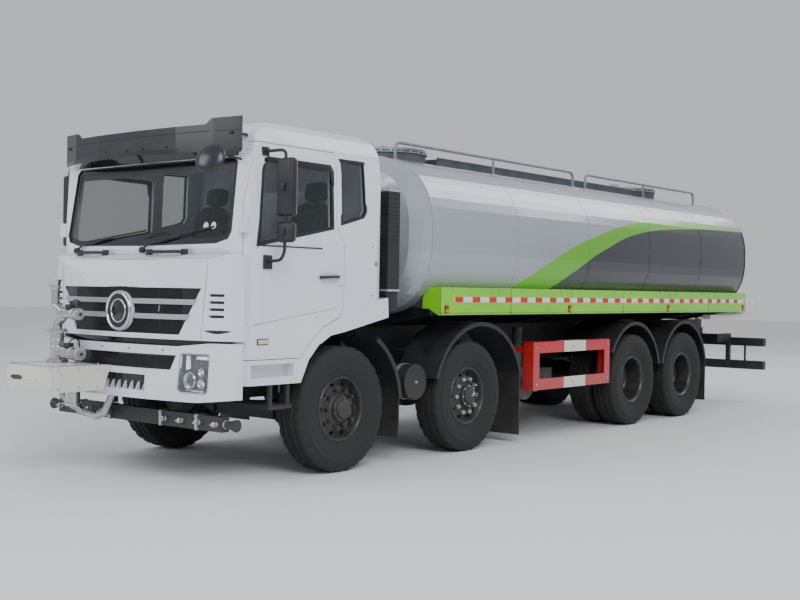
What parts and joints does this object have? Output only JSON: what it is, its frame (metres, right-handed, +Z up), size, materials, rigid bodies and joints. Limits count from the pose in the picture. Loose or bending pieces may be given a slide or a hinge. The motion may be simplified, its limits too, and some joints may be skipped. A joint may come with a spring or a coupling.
{
  "type": "eight by four water tanker truck",
  "caption": "Cab-over water tanker truck with twin steered front axles, tandem rear axles, rounded tank, side lockers, top handrails and front spray bar.",
  "frame": {"origin": "bottom centre of the whole truck, on the ground under the tyres", "axes": "+Z up; -Y is the front of the truck; +X is the truck's left side"},
  "size_m": [3.004, 11.41, 3.0763],
  "materials": {
    "chassis_black": "satin black chassis paint",
    "engine_grey": "grey painted casting",
    "cab_white": "gloss cool white",
    "tinted_glass": "tinted safety glass",
    "lamp_glass": "clear lamp lens",
    "slate_plastic": "satin slate grey plastic",
    "black_plastic": "grained black plastic",
    "seat_fabric": "dark woven seat cloth under clear film",
    "cream_paint": "cream white paint",
    "stainless_pipe": "brushed stainless",
    "tank_silver": "silver grey paint",
    "deck_grey": "dark grey paint",
    "rail_steel": "grey painted tube",
    "locker_green": "gloss lime green",
    "guard_red": "red with white bands",
    "tank_alloy": "mill aluminium",
    "pump_iron": "painted cast iron",
    "forged_steel": "painted forging",
    "rim_black": "satin black wheel paint",
    "tyre_rubber": "black tread rubber"
  },
  "bodies": {
    "root": {"frame": "chassis_black", "subframe": "chassis_black", "engine": "engine_grey", "driveline": "chassis_black", "axles": "chassis_black", "leaf_springs": "chassis_black", "cab_shell": "cab_white", "cab_glass": "tinted_glass", "front_panel": "cab_white", "bumper": "cab_white", "headlamps": "lamp_glass", "sun_visor": "slate_plastic", "corner_mirror": "slate_plastic", "dashboard": "black_plastic", "seats": "seat_fabric", "cab_steps": "chassis_black", "air_intake": "black_plastic", "spray_bar": "chassis_black", "valve_box": "cream_paint", "water_pipes": "stainless_pipe", "tank": "tank_silver", "tank_deck": "deck_grey", "top_rails": "rail_steel", "side_lockers": "locker_green", "side_guards": "guard_red", "mudguards": "black_plastic", "air_tanks": "chassis_black", "fuel_tank": "tank_alloy", "water_pump": "pump_iron", "rear_platform": "cream_paint", "underrun_bars": "chassis_black"},
    "left_door": {"left_door": "cab_white", "left_door_glass": "tinted_glass", "left_mirrors": "black_plastic"},
    "right_door": {"right_door": "cab_white", "right_door_glass": "tinted_glass", "right_mirrors": "black_plastic"},
    "front_lid": {"front_manhole_lid": "tank_silver"},
    "rear_lid": {"rear_manhole_lid": "tank_silver"},
    "left_knuckle_1": {"left_knuckle_1": "forged_steel"},
    "right_knuckle_1": {"right_knuckle_1": "forged_steel"},
    "left_knuckle_2": {"left_knuckle_2": "forged_steel"},
    "right_knuckle_2": {"right_knuckle_2": "forged_steel"},
    "left_wheel_1": {"left_rim_1": "rim_black", "left_tyre_1": "tyre_rubber"},
    "right_wheel_1": {"right_rim_1": "rim_black", "right_tyre_1": "tyre_rubber"},
    "left_wheel_2": {"left_rim_2": "rim_black", "left_tyre_2": "tyre_rubber"},
    "right_wheel_2": {"right_rim_2": "rim_black", "right_tyre_2": "tyre_rubber"},
    "left_wheel_3": {"left_rims_3": "rim_black", "left_tyres_3": "tyre_rubber"},
    "right_wheel_3": {"right_rims_3": "rim_black", "right_tyres_3": "tyre_rubber"},
    "left_wheel_4": {"left_rims_4": "rim_black", "left_tyres_4": "tyre_rubber"},
    "right_wheel_4": {"right_rims_4": "rim_black", "right_tyres_4": "tyre_rubber"}
  },
  "joints": [
    {"name": "left_door_hinge", "type": "hinge", "parent": "root", "child": "left_door", "pos_m": [1.22, -4.827, 1.86], "axis": [0, 0, -1], "range_deg": [0, 70]},
    {"name": "right_door_hinge", "type": "hinge", "parent": "root", "child": "right_door", "pos_m": [-1.22, -4.827, 1.86], "axis": [0, 0, 1], "range_deg": [0, 70]},
    {"name": "front_lid_hinge", "type": "hinge", "parent": "root", "child": "front_lid", "pos_m": [0, -1.267, 3.025], "axis": [-1, 0, 0], "range_deg": [0, 100]},
    {"name": "rear_lid_hinge", "type": "hinge", "parent": "root", "child": "rear_lid", "pos_m": [0, 3.943, 3.025], "axis": [-1, 0, 0], "range_deg": [0, 100]},
    {"name": "steer_left_1", "type": "hinge", "parent": "root", "child": "left_knuckle_1", "pos_m": [0.9, -3.655, 0.5425], "axis": [0, 0, 1], "range_deg": [-36, 36]},
    {"name": "steer_right_1", "type": "hinge", "parent": "root", "child": "right_knuckle_1", "pos_m": [-0.9, -3.655, 0.5425], "axis": [0, 0, 1], "range_deg": [-36, 36]},
    {"name": "steer_left_2", "type": "hinge", "parent": "root", "child": "left_knuckle_2", "pos_m": [0.9, -1.805, 0.5425], "axis": [0, 0, 1], "range_deg": [-25, 25]},
    {"name": "steer_right_2", "type": "hinge", "parent": "root", "child": "right_knuckle_2", "pos_m": [-0.9, -1.805, 0.5425], "axis": [0, 0, 1], "range_deg": [-25, 25]},
    {"name": "left_wheel_1_spin", "type": "hinge", "parent": "left_knuckle_1", "child": "left_wheel_1", "pos_m": [1.0435, -3.655, 0.5425], "axis": [1, 0, 0], "continuous": true},
    {"name": "right_wheel_1_spin", "type": "hinge", "parent": "right_knuckle_1", "child": "right_wheel_1", "pos_m": [-1.0435, -3.655, 0.5425], "axis": [1, 0, 0], "continuous": true},
    {"name": "left_wheel_2_spin", "type": "hinge", "parent": "left_knuckle_2", "child": "left_wheel_2", "pos_m": [1.0435, -1.805, 0.5425], "axis": [1, 0, 0], "continuous": true},
    {"name": "right_wheel_2_spin", "type": "hinge", "parent": "right_knuckle_2", "child": "right_wheel_2", "pos_m": [-1.0435, -1.805, 0.5425], "axis": [1, 0, 0], "continuous": true},
    {"name": "left_wheel_3_spin", "type": "hinge", "parent": "root", "child": "left_wheel_3", "pos_m": [0.9395, 1.495, 0.5425], "axis": [1, 0, 0], "continuous": true},
    {"name": "right_wheel_3_spin", "type": "hinge", "parent": "root", "child": "right_wheel_3", "pos_m": [-0.9395, 1.495, 0.5425], "axis": [1, 0, 0], "continuous": true},
    {"name": "left_wheel_4_spin", "type": "hinge", "parent": "root", "child": "left_wheel_4", "pos_m": [0.9395, 2.845, 0.5425], "axis": [1, 0, 0], "continuous": true},
    {"name": "right_wheel_4_spin", "type": "hinge", "parent": "root", "child": "right_wheel_4", "pos_m": [-0.9395, 2.845, 0.5425], "axis": [1, 0, 0], "continuous": true}
  ],
  "couplings": [
    {"joint": "steer_right_1", "follows": "steer_left_1", "ratio": 1},
    {"joint": "steer_left_2", "follows": "steer_left_1", "ratio": 0.69},
    {"joint": "steer_right_2", "follows": "steer_left_1", "ratio": 0.69}
  ]
}
